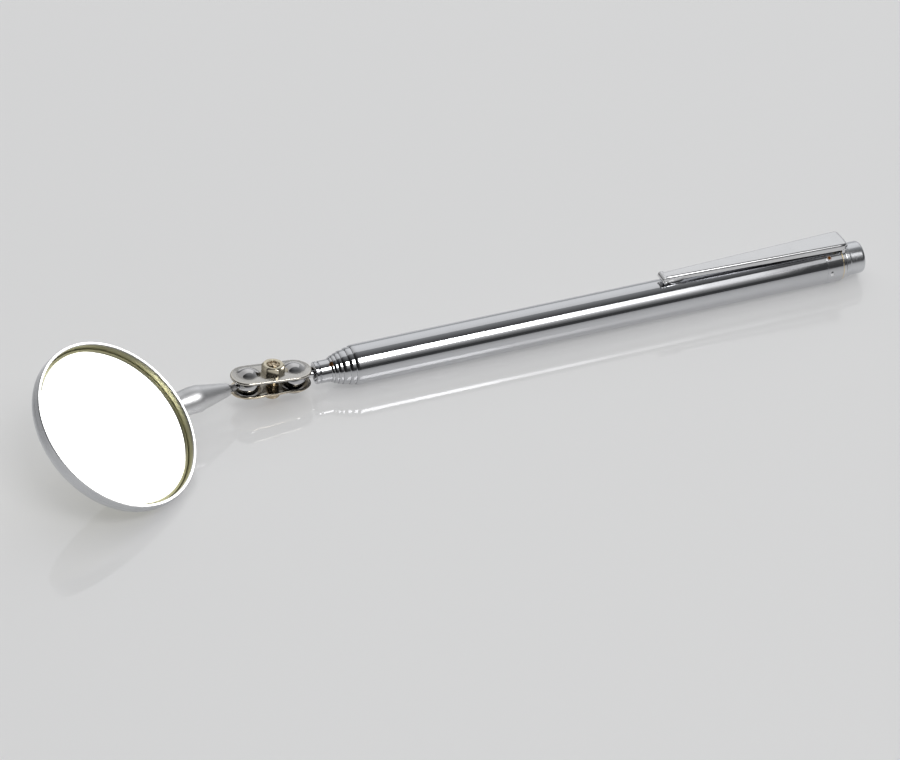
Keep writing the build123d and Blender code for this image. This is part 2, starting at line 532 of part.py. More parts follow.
# Clip arm: pressed channel that narrows to a rolled bead, with an ear each side
# near the tip; its rear end turns down to meet the collar.
ARM_REAR_W, ARM_TIP_W, BEAD_R = 4.8, 2.0, 0.74
TOP = CLIP_TOP
with BuildPart() as clip_arm:
    # top sheet
    with BuildSketch(Plane(origin=at(0, 0, TOP), x_dir=(1, 0, 0), z_dir=(0, 0, 1))):
        with BuildLine():
            Polyline((CLIP_TIP + 0.5, -ARM_TIP_W / 2), (CLIP_ROOT, -ARM_REAR_W / 2), (CLIP_END, -ARM_REAR_W / 2 + 0.5),
                     (CLIP_END, ARM_REAR_W / 2 - 0.5), (CLIP_ROOT, ARM_REAR_W / 2), (CLIP_TIP + 0.5, ARM_TIP_W / 2),
                     close=True)
        make_face()
    extrude(amount=-CLIP_SHEET)
    # side flanges, folded down along both long edges
    with BuildSketch(Plane(origin=at(0, 0, TOP), x_dir=(1, 0, 0), z_dir=(0, 0, 1))):
        with BuildLine():
            Polyline((CLIP_TIP + 0.5, -ARM_TIP_W / 2), (CLIP_ROOT, -ARM_REAR_W / 2),
                     (CLIP_ROOT, -ARM_REAR_W / 2 + CLIP_SHEET), (CLIP_TIP + 0.5, -ARM_TIP_W / 2 + CLIP_SHEET), close=True)
        make_face()
        with BuildLine():
            Polyline((CLIP_TIP + 0.5, ARM_TIP_W / 2), (CLIP_ROOT, ARM_REAR_W / 2),
                     (CLIP_ROOT, ARM_REAR_W / 2 - CLIP_SHEET), (CLIP_TIP + 0.5, ARM_TIP_W / 2 - CLIP_SHEET), close=True)
        make_face()
    extrude(amount=-0.9)
    fillet(clip_arm.edges().filter_by(lambda e: e.length > 30).group_by(Axis.Z)[-1], 0.28)
    # bead across the tip
    with BuildSketch(Plane(origin=at(CLIP_TIP + BEAD_R, ARM_TIP_W / 2 + 0.02, TOP - BEAD_R), x_dir=(1, 0, 0), z_dir=(0, -1, 0))):
        Circle(BEAD_R)
    extrude(amount=ARM_TIP_W + 0.04)
    # ears that straddle the barrel near the tip
    with BuildSketch(Plane(origin=at(58.9, -ARM_TIP_W / 2 - 0.08, TOP - 0.3), x_dir=(1, 0, 0), z_dir=(0, -1, 0))):
        Ellipse(2.3, 1.3)
        with Locations((0, 1.3)):
            Rectangle(6, 2, mode=Mode.SUBTRACT)
    extrude(amount=-CLIP_SHEET)
    with BuildSketch(Plane(origin=at(58.9, ARM_TIP_W / 2 + 0.08, TOP - 0.3), x_dir=(1, 0, 0), z_dir=(0, -1, 0))):
        Ellipse(2.3, 1.3)
        with Locations((0, 1.3)):
            Rectangle(6, 2, mode=Mode.SUBTRACT)
    extrude(amount=CLIP_SHEET)
    # rear bend, down to just above the collar's stub
    with BuildSketch(Plane(origin=at(0, 1.8, 0), x_dir=(1, 0, 0), z_dir=(0, -1, 0))):
        with BuildLine():
            Polyline((COL_X, 7.47), (COL_END, 7.47), (CLIP_END, 8.0), (CLIP_END, TOP), (CLIP_END - 0.5, TOP),
                     (COL_X, 7.9), close=True)
        make_face()
    extrude(amount=3.6)
    fillet(clip_arm.edges().filter_by(Axis.Y).sort_by(Axis.X)[-1:].sort_by(Axis.Z)[-1:], 0.3)
clip_arm.part.label = "clip_arm"

# ---------------------------------------------------------------- write the pieces
export_step(mirror_cup.part, "parts/mirror_cup.step")
export_step(mirror_glass.part, "parts/mirror_glass.step")
export_step(glass_pad.part, "parts/glass_pad.step")
export_step(stem.part, "parts/stem.step")
export_step(cup_rivet.part, "parts/cup_rivet.step")
export_step(front_ball_stud.part, "parts/front_ball_stud.step")
export_step(clamp_plate_upper.part, "parts/clamp_plate_upper.step")
export_step(clamp_plate_lower.part, "parts/clamp_plate_lower.step")
export_step(clamp_screw.part, "parts/clamp_screw.step")
export_step(clamp_nut.part, "parts/clamp_nut.step")
export_step(rear_ball_stud.part, "parts/rear_ball_stud.step")
export_step(tip_ferrule.part, "parts/tip_ferrule.step")
export_step(inner_tube_1.part, "parts/inner_tube_1.step")
export_step(inner_tube_2.part, "parts/inner_tube_2.step")
export_step(inner_tube_3.part, "parts/inner_tube_3.step")
export_step(inner_tube_4.part, "parts/inner_tube_4.step")
export_step(inner_tube_5.part, "parts/inner_tube_5.step")
export_step(inner_tube_6.part, "parts/inner_tube_6.step")
export_step(barrel.part, "parts/barrel.step")
export_step(rear_ferrule.part, "parts/rear_ferrule.step")
export_step(seat_ring.part, "parts/seat_ring.step")
export_step(clip_collar.part, "parts/clip_collar.step")
export_step(clip_arm.part, "parts/clip_arm.step")
export_step(end_knob.part, "parts/end_knob.step")

print("ball 1", BALL1, "ball 2", BALL2, "clamp normal", CLAMP_Z, "stem direction", STEM_DIR)
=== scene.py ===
import json
import math

import bmesh
import bpy
from mathutils import Matrix, Vector


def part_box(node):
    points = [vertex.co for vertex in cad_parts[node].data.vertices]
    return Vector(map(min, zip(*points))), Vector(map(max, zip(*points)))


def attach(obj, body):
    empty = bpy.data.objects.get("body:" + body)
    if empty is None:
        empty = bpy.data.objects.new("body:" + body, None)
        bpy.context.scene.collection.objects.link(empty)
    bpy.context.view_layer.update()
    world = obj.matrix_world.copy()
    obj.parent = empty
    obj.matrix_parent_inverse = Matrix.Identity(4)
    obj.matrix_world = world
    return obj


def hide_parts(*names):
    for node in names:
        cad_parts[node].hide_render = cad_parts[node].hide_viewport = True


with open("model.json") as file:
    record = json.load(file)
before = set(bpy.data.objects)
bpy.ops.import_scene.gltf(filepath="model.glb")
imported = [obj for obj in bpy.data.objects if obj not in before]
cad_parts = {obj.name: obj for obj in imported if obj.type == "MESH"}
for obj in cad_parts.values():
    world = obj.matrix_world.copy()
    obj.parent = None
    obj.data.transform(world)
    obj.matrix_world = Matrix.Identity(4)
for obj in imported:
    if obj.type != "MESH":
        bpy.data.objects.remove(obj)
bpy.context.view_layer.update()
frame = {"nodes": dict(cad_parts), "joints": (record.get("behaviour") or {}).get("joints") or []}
N = frame["nodes"]
scene = bpy.context.scene
MM = 0.001

# ------------------------------------------------------------------ places
MOUTH_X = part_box("end_knob")[1].x - 94.9 * MM     # where the barrel starts to close in at its front
barrel_lo, barrel_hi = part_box("barrel")
AXIS_Y = (barrel_lo.y + barrel_hi.y) / 2
AXIS_Z = (barrel_lo.z + barrel_hi.z) / 2
JOINTS = {j["name"]: j for j in frame["joints"]}
BALL1 = Vector(JOINTS["clamp_swing"]["pos_m"])
BALL2 = Vector(JOINTS["stem_swing"]["pos_m"])
CLAMP_Z = Vector(JOINTS["clamp_swing"]["axis"]).normalized()
CLAMP_X = (BALL1 - BALL2).normalized()
CLAMP_Y = CLAMP_Z.cross(CLAMP_X).normalized()
CLAMP_MID = (BALL1 + BALL2) / 2
STEM_DIR = Vector(JOINTS["mirror_roll"]["axis"]).normalized()
CUP_TILT, CUP_TURN = math.radians(40.892), math.radians(-41.220)
CUP_N = Vector((math.sin(CUP_TILT) * math.cos(CUP_TURN), math.sin(CUP_TILT) * math.sin(CUP_TURN), math.cos(CUP_TILT)))
CUP_C = Vector((MOUTH_X - 44.495 * MM, AXIS_Y - 12.657 * MM, 11.471 * MM))


# ------------------------------------------------------------------ node helpers
class Mat:
    """A small builder for procedural materials in the part's own coordinates."""

    def __init__(self, name):
        self.m = bpy.data.materials.new(name)
        self.m.use_nodes = True
        self.t = self.m.node_tree
        self.b = next(n for n in self.t.nodes if n.type == "BSDF_PRINCIPLED")
        self.co = self.t.nodes.new("ShaderNodeTexCoord").outputs["Object"]

    def put(self, socket, value):
        if hasattr(value, "is_output"):
            self.t.links.new(value, socket)
        else:
            socket.default_value = value

    def math(self, op, a, b=0.0, c=None, clamp=False):
        n = self.t.nodes.new("ShaderNodeMath")
        n.operation, n.use_clamp = op, clamp
        self.put(n.inputs[0], a)
        self.put(n.inputs[1], b)
        if c is not None:
            self.put(n.inputs[2], c)
        return n.outputs[0]

    def vec(self, op, a, b=None):
        n = self.t.nodes.new("ShaderNodeVectorMath")
        n.operation = op
        self.put(n.inputs[0], a)
        if b is not None:
            self.put(n.inputs[1], b)
        return n.outputs["Value"] if op in ("DOT_PRODUCT", "LENGTH", "DISTANCE") else n.outputs[0]

    def scaled(self, scale, origin=(0, 0, 0)):
        return self.vec("MULTIPLY", self.vec("SUBTRACT", self.co, tuple(origin)), tuple(scale))

    def along(self, origin, direction):
        """Distance in metres along a line through origin."""
        return self.vec("DOT_PRODUCT", self.vec("SUBTRACT", self.co, tuple(origin)), tuple(direction))

    def from_axis(self, origin, direction):
        """Distance in metres from a line through origin."""
        d = self.vec("SUBTRACT", self.co, tuple(origin))
        return self.vec("LENGTH", self.vec("CROSS_PRODUCT", d, tuple(direction)))

    def noise(self, vector=None, scale=1.0, detail=3.0, rough=0.5, w=None):
        n = self.t.nodes.new("ShaderNodeTexNoise")
        if w is not None:
            n.noise_dimensions = "1D"
            self.put(n.inputs["W"], w)
        else:
            self.put(n.inputs["Vector"], vector)
        n.inputs["Scale"].default_value = scale
        n.inputs["Detail"].default_value = detail
        n.inputs["Roughness"].default_value = rough
        return n.outputs["Fac"]

    def remap(self, v, a, b, lo, hi, smooth=True):
        n = self.t.nodes.new("ShaderNodeMapRange")
        n.interpolation_type = "SMOOTHSTEP" if smooth else "LINEAR"
        self.put(n.inputs["Value"], v)
        n.inputs["From Min"].default_value, n.inputs["From Max"].default_value = a, b
        self.put(n.inputs["To Min"], lo)
        self.put(n.inputs["To Max"], hi)
        return n.outputs["Result"]

    def mix(self, f, a, b):
        n = self.t.nodes.new("ShaderNodeMix")
        n.data_type = "RGBA"
        self.put(n.inputs["Factor"], f)
        self.put(n.inputs[6], a if hasattr(a, "is_output") else (*a, 1.0))
        self.put(n.inputs[7], b if hasattr(b, "is_output") else (*b, 1.0))
        return n.outputs[2]

    def bump(self, height, distance, strength=1.0, normal=None):
        n = self.t.nodes.new("ShaderNodeBump")
        n.inputs["Strength"].default_value = strength
        n.inputs["Distance"].default_value = distance
        self.put(n.inputs["Height"], height)
        if normal is not None:
            self.put(n.inputs["Normal"], normal)
        return n.outputs[0]

    def done(self, color, rough, metallic=1.0, normal=None, **sockets):
        self.put(self.b.inputs["Base Color"], color if hasattr(color, "is_output") else (*color, 1.0))
        self.put(self.b.inputs["Roughness"], rough)
        self.b.inputs["Metallic"].default_value = metallic
        if normal is not None:
            self.put(self.b.inputs["Normal"], normal)
        for k, v in sockets.items():
            self.b.inputs[k.replace("_", " ")].default_value = v
        return self.m


def wear(m, base, dull, spots=900.0, cut=0.62):
    """Colour with faint, cloudy tarnish."""
    cloud = m.noise(m.scaled((spots,) * 3), 1.0, 4, 0.6)
    return m.mix(m.remap(cloud, cut - 0.12, cut + 0.12, 0.0, 0.5), base, dull)


AXIS_O = (MOUTH_X, AXIS_Y, AXIS_Z)
X = (1.0, 0.0, 0.0)


def chrome(name, base=(0.63, 0.635, 0.655), rough=0.05, draw=0.0000004, pit=None):
    """Drawn and plated tube: long faint draw lines, hairline scuffs, a little haze."""
    m = Mat(name)
    lines = m.noise(m.scaled((60, 5200, 5200)), 1.0, 3, 0.6)
    haze = m.noise(m.scaled((260, 420, 420)), 1.0, 5, 0.62)
    scuff = m.noise(m.scaled((1500, 9000, 9000)), 1.0, 2, 0.5)
    r = m.math("ADD", m.remap(haze, 0.35, 0.75, rough, rough + 0.06), m.remap(scuff, 0.68, 0.74, 0.0, 0.08))
    col = m.mix(m.remap(haze, 0.4, 0.8, 0.0, 0.35), base, tuple(c * 0.92 for c in base))
    # spots painted over the colour, each in its listed colour: dark brown with painted shade for the pits, white for a
    # painted glint
    for centre, size, shade in pit or []:
        d = m.vec("DISTANCE", m.co, centre)
        col = m.mix(m.remap(d, size * 0.55, size * 0.95, 1.0, 0.0), col, shade)
        r = m.math("MAXIMUM", r, m.remap(d, size * 0.6, size * 0.9, 0.5, 0.0))
    nrm = m.bump(lines, draw)
    nrm = m.bump(m.noise(m.scaled((180, 260, 260)), 1.0, 2, 0.5), 0.000003, normal=nrm)
    return m.done(col, r, normal=nrm)


def turned(name, origin, direction, base, rough, pitch=9000.0, depth=0.0000012, dull=0.9, aniso=0.0):
    """Lathe-turned metal: fine rings along its axis."""
    m = Mat(name)
    s = m.along(origin, direction)
    rings = m.noise(w=m.math("MULTIPLY", s, pitch), scale=1.0, detail=4, rough=0.7)
    cloud = m.noise(m.scaled((700, 700, 700)), 1.0, 4, 0.6)
    r = m.math("ADD", m.remap(rings, 0.3, 0.7, rough * 0.85, rough * 1.15), m.remap(cloud, 0.45, 0.75, 0.0, 0.07))
    col = m.mix(m.remap(cloud, 0.4, 0.75, 0.0, 0.6), base, tuple(c * dull for c in base))
    return m.done(col, r, normal=m.bump(rings, depth), Anisotropic=aniso)


def pressed(name, base, rough, edge=None, domes=True, out=None):
    """Stamped, tumbled and plated sheet: uneven satin, burnished domes, worn rim, and painted shade that darkens the
    inner face between the plates.
    """
    m = Mat(name)
    pits = m.noise(m.scaled((4200,) * 3), 1.0, 3, 0.55)
    wave = m.noise(m.scaled((520,) * 3), 1.0, 3, 0.5)
    r = m.remap(pits, 0.35, 0.75, rough * 0.85, rough * 1.3)
    col = m.mix(m.remap(wave, 0.35, 0.75, 0.0, 0.6), base, tuple(c * 0.86 for c in base))
    depth = 0.0000011
    if domes:
        d1, d2 = m.from_axis(tuple(BALL1), tuple(CLAMP_Z)), m.from_axis(tuple(BALL2), tuple(CLAMP_Z))
        d = m.math("MINIMUM", d1, d2)
        ragged = m.math("ADD", d, m.math("MULTIPLY", m.math("SUBTRACT", wave, 0.5), 0.00015))
        cap = m.remap(ragged, 1.62 * MM, 1.86 * MM, 1.0, 0.0)
        r = m.math("ADD", m.math("MULTIPLY", m.math("SUBTRACT", 1.0, cap), r), m.math("MULTIPLY", cap, 0.045))
        col = m.mix(cap, col, (0.63, 0.62, 0.62))
        pits = m.math("MULTIPLY", pits, m.math("SUBTRACT", 1.0, cap))
    if edge is not None:
        along = m.math("ABSOLUTE", m.along(tuple(CLAMP_MID), tuple(CLAMP_X)))
        across = m.along(tuple(CLAMP_MID), tuple(CLAMP_Y))
        past = m.math("MAXIMUM", m.math("SUBTRACT", along, (BALL1 - BALL2).length / 2), 0.0)
        dist = m.math("POWER", m.math("ADD", m.math("MULTIPLY", past, past), m.math("MULTIPLY", across, across)), 0.5)
        dist = m.math("ADD", dist, m.math("MULTIPLY", m.math("SUBTRACT", wave, 0.5), 0.0003))
        worn = m.remap(dist, 2.55 * MM, 2.95 * MM, 0.0, 1.0)
        col = m.mix(worn, col, edge)
    # painted shade: faces inside the outer face, between the two plates, are darkened to 0.42 of the base
    if out is not None:
        depth_in = m.math("ABSOLUTE", m.along(tuple(CLAMP_MID), tuple(CLAMP_Z)))
        gap_shade = m.remap(depth_in, (out - 0.5) * MM, (out - 0.42) * MM, 1.0, 0.0)
        col = m.mix(gap_shade, col, tuple(c * 0.42 for c in base))
    nrm = m.bump(pits, depth)
    nrm = m.bump(wave, 0.000003, normal=nrm)
    return m.done(col, r, normal=nrm)


def paint(node, mat):
    o = N[node]
    o.data.materials.clear()
    o.data.materials.append(mat)


def ring_point(x, deg, r):
    a = math.radians(deg)
    return (MOUTH_X + x * MM, AXIS_Y - r * MM * math.cos(a), AXIS_Z + r * MM * math.sin(a))


BARREL_END = (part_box("barrel")[1].x - MOUTH_X) / MM
MAT_TUBE = chrome("chrome_tube")
# the dark brown for the punch pits is partly their brown inside and partly painted shade in the hollow
PIT_DARK_BROWN, PAINTED_GLINT = (0.11, 0.045, 0.012), (0.98, 0.98, 0.98)
MARK = [(ring_point(-4.62, 62.0, 2.08), 0.66 * MM, PIT_DARK_BROWN)]
MAT_NOSE = chrome("chrome_nose", pit=MARK)
MAT_TUBE_5 = chrome("chrome_tube_5", pit=MARK)
# the ferrule's second spot is painted white: a painted glint on the small bump
MAT_FERRULE = chrome("chrome_ferrule", rough=0.08, pit=[(ring_point(BARREL_END + 0.62, 50.5, 3.2), 0.66 * MM, PIT_DARK_BROWN),
                                                          (ring_point(BARREL_END + 0.85, -2.5, 3.55), 0.34 * MM, PAINTED_GLINT)])
MAT_CLIP = chrome("chrome_clip", base=(0.70, 0.70, 0.71), rough=0.11)
MAT_KNOB = turned("brushed_knob", AXIS_O, X, (0.68, 0.69, 0.71), 0.2, pitch=16000)
MAT_STEM = turned("turned_stem", tuple(BALL2), tuple(STEM_DIR), (0.76, 0.76, 0.77), 0.42, depth=0.0000004, dull=0.94)
MAT_BALL = chrome("polished_ball", base=(0.66, 0.66, 0.67), rough=0.04)
MAT_PLATE = pressed("nickel_plate", (0.56, 0.545, 0.52), 0.24, edge=(0.70, 0.665, 0.60), out=1.95)
# painted shade: the lower plate takes a darker, warmer copy of the upper plate's nickel and rim colours
MAT_PLATE_LOW_SHADED = pressed("nickel_plate_low_shaded", (0.50, 0.46, 0.39), 0.2, edge=(0.70, 0.61, 0.47), out=1.32)
MAT_NUT = pressed("pale_nickel", (0.64, 0.585, 0.46), 0.16, domes=False)
MAT_SCREW = pressed("bronzed_screw", (0.60, 0.50, 0.36), 0.2, domes=False)
MAT_BRASS = pressed("bare_brass", (0.83, 0.68, 0.40), 0.25, domes=False)
MAT_BRONZE = pressed("spring_bronze", (0.75, 0.52, 0.32), 0.3, domes=False)


def cup_material():
    m = Mat("spun_aluminium")
    r = m.from_axis(tuple(CUP_C), tuple(CUP_N))
    h = m.along(tuple(CUP_C), tuple(CUP_N))
    rings = m.noise(w=m.math("MULTIPLY", m.math("ADD", r, h), 9000.0), scale=1.0, detail=3, rough=0.6)
    cloud = m.noise(m.scaled((420,) * 3), 1.0, 4, 0.6)
    inner = m.math("MULTIPLY", m.remap(r, 14.5 * MM, 14.62 * MM, 1.0, 0.0), m.remap(h, -0.3 * MM, -0.08 * MM, 1.0, 0.0))
    col = m.mix(m.remap(cloud, 0.4, 0.75, 0.0, 0.5), (0.66, 0.67, 0.69), (0.58, 0.59, 0.61))
    # inner wall tinted olive-cream and lightened: partly its own tint, partly painted reflection of the mirror it faces
    col = m.mix(inner, col, (0.82, 0.80, 0.61))
    # painted highlight: the rim band is coloured near white for the light it catches
    rim = m.math("MULTIPLY", m.remap(h, -0.16 * MM, -0.1 * MM, 0.0, 1.0), m.remap(r, 14.4 * MM, 14.48 * MM, 0.0, 1.0))
    col = m.mix(rim, col, (0.92, 0.92, 0.92))
    rough = m.math("ADD", m.remap(rings, 0.3, 0.7, 0.2, 0.28), m.remap(cloud, 0.45, 0.75, 0.0, 0.06))
    rough = m.math("ADD", rough, m.math("MULTIPLY", inner, 0.14))
    return m.done(col, rough, normal=m.bump(rings, 0.0000012))


def mirror_material():
    m = Mat("silvered_glass")
    r = m.from_axis(tuple(CUP_C), tuple(CUP_N))
    smear = m.noise(m.scaled((160, 160, 160)), 1.0, 5, 0.6)
    r = m.math("ADD", r, m.math("MULTIPLY", m.math("SUBTRACT", smear, 0.5), 0.0003))
    edge = m.remap(r, 13.0 * MM, 14.2 * MM, 0.0, 1.0)
    col = m.mix(edge, (0.90, 0.91, 0.90), (0.80, 0.79, 0.62))
    rough = m.math("ADD", m.remap(smear, 0.5, 0.8, 0.01, 0.03), m.remap(r, 13.5 * MM, 14.1 * MM, 0.0, 0.3))
    return m.done(col, rough)


MAT_CUP = cup_material()
MAT_MIRROR = mirror_material()


def adhesive_material():
    m = Mat("adhesive_disc")
    return m.done((0.05, 0.05, 0.05), m.remap(m.noise(m.scaled((2000,) * 3)), 0.3, 0.7, 0.6, 0.85), metallic=0.0)


MAT_PAD = adhesive_material()


# ------------------------------------------------------------------ mesh helpers
def keep(name, bm, mat, body, nodes, sharp=38.0):
    """Turns a bmesh into a piece that stands for CAD nodes and rides on their body."""
    bmesh.ops.recalc_face_normals(bm, faces=bm.faces)
    mesh = bpy.data.meshes.new(name)
    bm.to_mesh(mesh)
    bm.free()
    mesh.shade_smooth()
    mesh.set_sharp_from_angle(angle=math.radians(sharp))
    mesh.materials.append(mat)
    o = bpy.data.objects.new(name, mesh)
    scene.collection.objects.link(o)
    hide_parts(*nodes)
    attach(o, body)
    return o


def softened(points, n=6):
    """(along, radius, fillet) corners to a dense outline with rounded corners and holding loops."""
    out = []
    count = len(points)
    for i, (x, r, f) in enumerate(points):
        p = Vector((x, r))
        a = Vector(points[i - 1][:2])
        b = Vector(points[(i + 1) % count][:2])
        la, lb = (a - p).length, (b - p).length
        if f <= 0 or la < 1e-9 or lb < 1e-9:
            out.append(p)
            continue
        t = min(f, la * 0.46, lb * 0.46)
        p0, p2 = p + (a - p) / la * t, p + (b - p) / lb * t
        for k in range(n + 1):
            u = k / n
            out.append(p0 * (1 - u) ** 2 + p * 2 * u * (1 - u) + p2 * u * u)
    held = []
    count = len(out)
    for i, p in enumerate(out):
        q = out[(i + 1) % count]
        held.append(p)
        d = (q - p).length
        if d > 0.16:
            held.append(p + (q - p) * (0.03 / d))
            held.append(q + (p - q) * (0.03 / d))
    return held


def lathe(outline, origin, along, side, seg=144, shift=None, closed=True):
    """Revolved outline in millimetres; shift(x, r, angle) may move the surface for marks."""
    along, side = Vector(along).normalized(), Vector(side)
    side = (side - along * side.dot(along)).normalized()
    up = along.cross(side)
    bm = bmesh.new()
    rings = []
    for x, r in outline:
        if r < 1e-6:
            rings.append([bm.verts.new(Vector(origin) + along * x * MM)])
            continue
        ring = []
        for k in range(seg):
            a = 2 * math.pi * k / seg
            px, pr = (x, r) if shift is None else shift(x, r, a)
            ring.append(bm.verts.new(Vector(origin) + (along * px + (side * math.cos(a) + up * math.sin(a)) * pr) * MM))
        rings.append(ring)
    pairs = list(zip(rings, rings[1:]))
    if closed:
        pairs.append((rings[-1], rings[0]))
    for p, q in pairs:
        if len(p) == 1 and len(q) == 1:
            continue
        for k in range(seg):
            j = (k + 1) % seg
            if len(p) == 1:
                bm.faces.new((p[0], q[k], q[j]))
            elif len(q) == 1:
                bm.faces.new((p[k], q[0], p[j]))
            else:
                bm.faces.new((p[k], q[k], q[j], p[j]))
    return bm


def arc(cx, cr, rx, rr, a0, a1, n):
    """Points of an elliptical arc in (along, radius), angles in degrees."""
    return [(cx + rx * math.cos(math.radians(a0 + (a1 - a0) * k / n)), cr + rr * math.sin(math.radians(a0 + (a1 - a0) * k / n)), 0)
            for k in range(n + 1)]


def stepped(x0, x1, step):
    n = max(1, int(round(abs(x1 - x0) / step)))
    return [x0 + (x1 - x0) * k / n for k in range(n + 1)]


HANDLE_O = Vector((MOUTH_X, AXIS_Y, AXIS_Z))
FRONT_SIDE = (0, -1, 0)                      # angle 0 faces -Y, 90 degrees faces up


def pit(x, r, a, marks):
    """Punch marks: (along, degrees, radius, depth, rim)."""
    for mx, deg, size, depth, rim in marks:
        d = (a - math.radians(deg) + math.pi) % (2 * math.pi) - math.pi
        q = math.hypot(x - mx, d * r) / size
        if q < 1.9:
            if q < 1.0:
                r -= depth * (1 - q * q) ** 1.2
            r += rim * math.exp(-((q - 1.15) / 0.28) ** 2)
    return x, r


# ------------------------------------------------------------------ telescopic handle
WALL = 0.15
STAGE_D = [6.48, 5.96, 5.44, 4.92, 4.40, 3.88]
TUBE_BOX = [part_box("inner_tube_%d" % i) for i in range(1, 7)]


def tube(front, rear, ro, lip, reach, marks=(), seg=160):
    """Thin tube with a rolled-in front lip that closes to radius lip over a length reach."""
    ri = ro - WALL
    nose = arc(front + reach, lip + 0.02, reach, ro - lip - 0.02, 180, 90, 16)
    pts = [(front + 0.02, lip, 0.0)] + nose
    if marks:
        pts += [(x, ro, 0) for x in stepped(front + reach + 0.03, marks[0][0] + 1.2, 0.04)]
    pts += [(rear, ro, 0.04), (rear, ri, 0), (front + 1.8, ri, 0), (front + 1.7, lip, 0)]
    return lathe(softened(pts), HANDLE_O, (1, 0, 0), FRONT_SIDE, seg, (lambda x, r, a: pit(x, r, a, marks) if r > ro - 0.02 else (x, r)) if marks else None)


BARREL_REAR = (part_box("barrel")[1].x - MOUTH_X) / MM
BARREL_F = (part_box("barrel")[0].x - MOUTH_X) / MM
keep("barrel_tube", tube(BARREL_F, BARREL_REAR, 3.5, STAGE_D[0] / 2 + 0.03, 0.88, seg=224), MAT_TUBE, "handle", ["barrel"])
REACH = [0.82, 0.92, 0.62, 0.52, 0.38]
for i in range(5):
    lo, hi = TUBE_BOX[i]
    bm = tube((lo.x - MOUTH_X) / MM, (hi.x - MOUTH_X) / MM, STAGE_D[i] / 2, STAGE_D[i + 1] / 2 + 0.03, REACH[i])
    keep("section_tube_%d" % (i + 1), bm, MAT_TUBE_5 if i == 4 else MAT_TUBE, "section_%d" % (i + 1), ["inner_tube_%d" % (i + 1)])
lo, hi = TUBE_BOX[5]
F6, R6 = (lo.x - MOUTH_X) / MM, (hi.x - MOUTH_X) / MM
pts = [(F6, 1.94, 0), (R6, 1.94, 0.04), (R6, 1.79, 0), (F6, 1.79, 0)]
keep("section_tube_6", lathe(softened(pts), HANDLE_O, (1, 0, 0), FRONT_SIDE), MAT_TUBE, "section_6", ["inner_tube_6"])

# nose: bead, groove, plain length; dished face
NOSE = (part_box("tip_ferrule")[0].x - MOUTH_X) / MM
f, r = NOSE, 1.97
pts = [(f + 1.3, 0.82, 0), (f + 0.75, 1.0, 0.1), (f + 0.35, 1.25, 0.15), (f, 1.55, 0.1), (f, r - 0.02, 0.14), (f + 0.56, r, 0.1),
       (f + 0.66, r - 0.2, 0.05), (f + 0.76, r - 0.2, 0.05), (f + 0.86, r - 0.02, 0.08)]
pts += [(x, 1.955, 0) for x in stepped(f + 1.1, -4.3, 0.05)]
pts += [(-4.2, 1.79, 0), (-2.35, 1.79, 0), (-2.35, 0.83, 0)]
NOSE_MARK = [(-4.9, 63.0, 0.36, 0.3, 0.05)]
keep("nose", lathe(softened(pts), HANDLE_O, (1, 0, 0), FRONT_SIDE, 192, lambda x, r, a: pit(x, r, a, NOSE_MARK) if r > 1.9 and x > -5.6 else (x, r)),
     MAT_NOSE, "section_6", ["tip_ferrule"])

# rear ferrule with its two punch marks: a dark brown pit and a small raised bump painted white as a painted glint
FER = (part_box("rear_ferrule")[0].x - MOUTH_X) / MM, (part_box("rear_ferrule")[1].x - MOUTH_X) / MM
FER_MARKS = [(BARREL_REAR + 0.62, 50.5, 0.5, 0.6, 0.03), (BARREL_REAR + 0.85, -2.5, 0.34, -0.09, 0.0)]
pts = [(FER[0], 2.0, 0), (FER[0], 3.1, 0.05), (FER[0] + 0.25, 3.35, 0), (BARREL_REAR, 3.35, 0), (BARREL_REAR, 3.43, 0.02), (BARREL_REAR + 0.07, 3.5, 0.04)]
pts += [(x, 3.5, 0) for x in stepped(BARREL_REAR + 0.12, FER[1] - 0.3, 0.045)]
pts += [(FER[1] - 0.08, 3.5, 0.05), (FER[1], 3.42, 0.03), (FER[1], 2.0, 0)]
keep("rear_collar", lathe(softened(pts), HANDLE_O, (1, 0, 0), FRONT_SIDE, 300, lambda x, r, a: pit(x, r, a, FER_MARKS) if r > 3.49 else (x, r)),
     MAT_FERRULE, "handle", ["rear_ferrule"])

# clip collar stays a plain ring; knob with a shoulder and a brushed barrel
KN = (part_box("end_knob")[0].x - MOUTH_X) / MM, (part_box("end_knob")[1].x - MOUTH_X) / MM
K0 = KN[1] - 3.8
pts = [(KN[0], 0, 0), (KN[0], 1.7, 0.05), (KN[0] + 0.25, 1.95, 0.05), (K0 - 0.15, 1.95, 0), (K0 - 0.15, 2.45, 0), (K0, 2.45, 0), (K0, 3.1, 0.12),
       (K0 + 0.84, 3.1, 0.1), (K0 + 0.9, 2.93, 0.04), (K0 + 1.02, 2.9, 0.03), (KN[1] - 0.42, 2.9, 0.2), (KN[1] - 0.12, 2.78, 0.12), (KN[1], 2.5, 0.1),
       (KN[1] - 0.03, 1.4, 0.1), (KN[1] - 0.06, 0, 0)]
keep("knob", lathe(softened(pts), HANDLE_O, (1, 0, 0), FRONT_SIDE, 192, closed=False), MAT_KNOB, "handle", ["end_knob"])

# ------------------------------------------------------------------ pocket clip
CL0, CL1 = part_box("clip_arm")
TIP_X, END_X = (CL0.x - MOUTH_X) / MM, (CL1.x - MOUTH_X) / MM
TOP = CL1.z / MM
BEAD = 0.64
ROOT_X = END_X - 0.8


